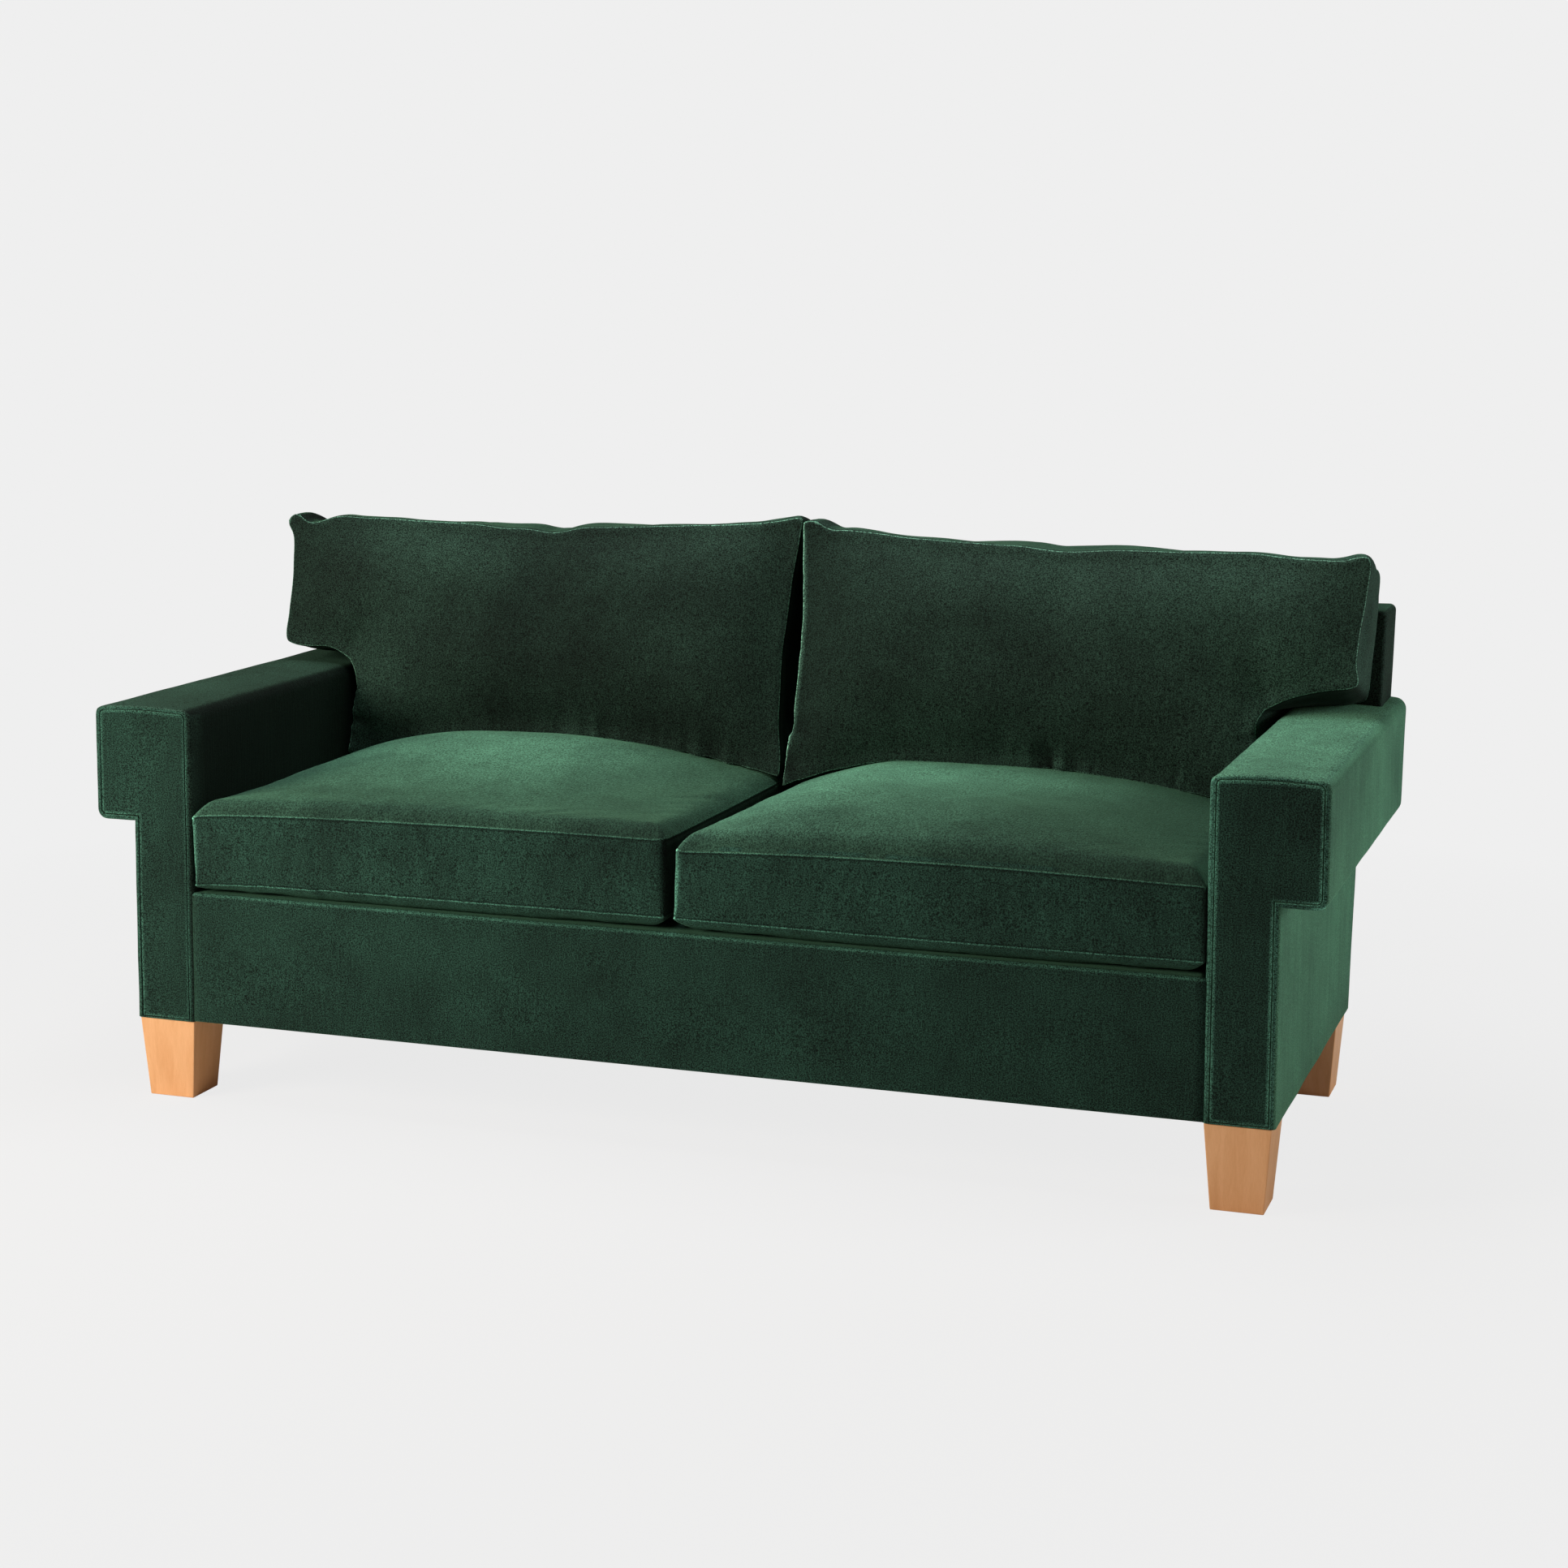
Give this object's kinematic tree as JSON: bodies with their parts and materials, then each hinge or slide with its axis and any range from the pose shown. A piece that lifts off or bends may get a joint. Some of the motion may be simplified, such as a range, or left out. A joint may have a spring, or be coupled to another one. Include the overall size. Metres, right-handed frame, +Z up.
{
  "type": "two-seat sofa",
  "caption": "Velvet sofa with squared overhanging arms, a raked back, tapered square wood legs, boxed loose seat cushions and ear-shaped loose back cushions.",
  "frame": {"origin": "middle of the sofa's footprint box, on the floor under the legs", "axes": "+X along the seat towards the right end as seen from the front, +Y from the front towards the back, +Z up"},
  "size_m": [2.032, 0.9006, 0.9304],
  "materials": {
    "velvet": "matte",
    "leg_wood": "satin",
    "frame_wood": "matte",
    "plywood": "matte",
    "wadding": "matte",
    "webbing": "matte",
    "deck_cloth": "matte",
    "dust_cloth": "matte",
    "steel": "satin"
  },
  "bodies": {
    "sofa_frame": {"leg_front_left": "leg_wood", "leg_front_right": "leg_wood", "leg_rear_left": "leg_wood", "leg_rear_right": "leg_wood", "leg_block_front_left": "frame_wood", "leg_block_front_right": "frame_wood", "leg_block_rear_left": "frame_wood", "leg_block_rear_right": "frame_wood", "leg_bolt_front_left": "steel", "leg_bolt_front_right": "steel", "leg_bolt_rear_left": "steel", "leg_bolt_rear_right": "steel", "front_rail": "frame_wood", "rear_rail": "frame_wood", "centre_stretcher": "frame_wood", "seat_side_rail_left": "frame_wood", "seat_side_rail_right": "frame_wood", "arm_bolt_front_left": "steel", "arm_bolt_front_right": "steel", "arm_bolt_rear_left": "steel", "arm_bolt_rear_right": "steel", "seat_spring_1": "steel", "seat_spring_2": "steel", "seat_spring_3": "steel", "seat_spring_4": "steel", "seat_spring_5": "steel", "seat_spring_6": "steel", "seat_spring_7": "steel", "seat_spring_8": "steel", "deck_pad": "wadding", "deck_cloth": "deck_cloth", "front_rail_wadding": "wadding", "front_rail_cover": "velvet", "dust_cloth": "dust_cloth", "arm_cover_left": "velvet", "arm_cover_right": "velvet", "arm_wadding_left": "wadding", "arm_wadding_right": "wadding", "arm_front_board_left": "plywood", "arm_front_board_right": "plywood", "arm_rear_board_left": "plywood", "arm_rear_board_right": "plywood", "arm_top_board_left": "plywood", "arm_top_board_right": "plywood", "arm_side_rail_left": "frame_wood", "arm_side_rail_right": "frame_wood", "back_cover": "velvet", "back_pad": "wadding", "back_post_left": "frame_wood", "back_post_right": "frame_wood", "back_centre_post": "frame_wood", "back_top_rail": "frame_wood", "back_mid_rail": "frame_wood", "back_webbing_lower": "webbing", "back_webbing_middle": "webbing", "back_webbing_upper": "webbing"},
    "left_seat": {"seat_cushion_left": "velvet"},
    "right_seat": {"seat_cushion_right": "velvet"},
    "left_back": {"back_cushion_left": "velvet"},
    "right_back": {"back_cushion_right": "velvet"}
  },
  "joints": [
    {"name": "left_seat_pull", "type": "slide", "parent": "sofa_frame", "child": "left_seat", "axis": [0, -1, 0], "range_m": [0, 0.67]},
    {"name": "right_seat_pull", "type": "slide", "parent": "sofa_frame", "child": "right_seat", "axis": [0, -1, 0], "range_m": [0, 0.67]},
    {"name": "left_back_lift", "type": "slide", "parent": "sofa_frame", "child": "left_back", "axis": [0, 0, 1], "range_m": [0, 0.34]},
    {"name": "right_back_lift", "type": "slide", "parent": "sofa_frame", "child": "right_back", "axis": [0, 0, 1], "range_m": [0, 0.34]}
  ]
}
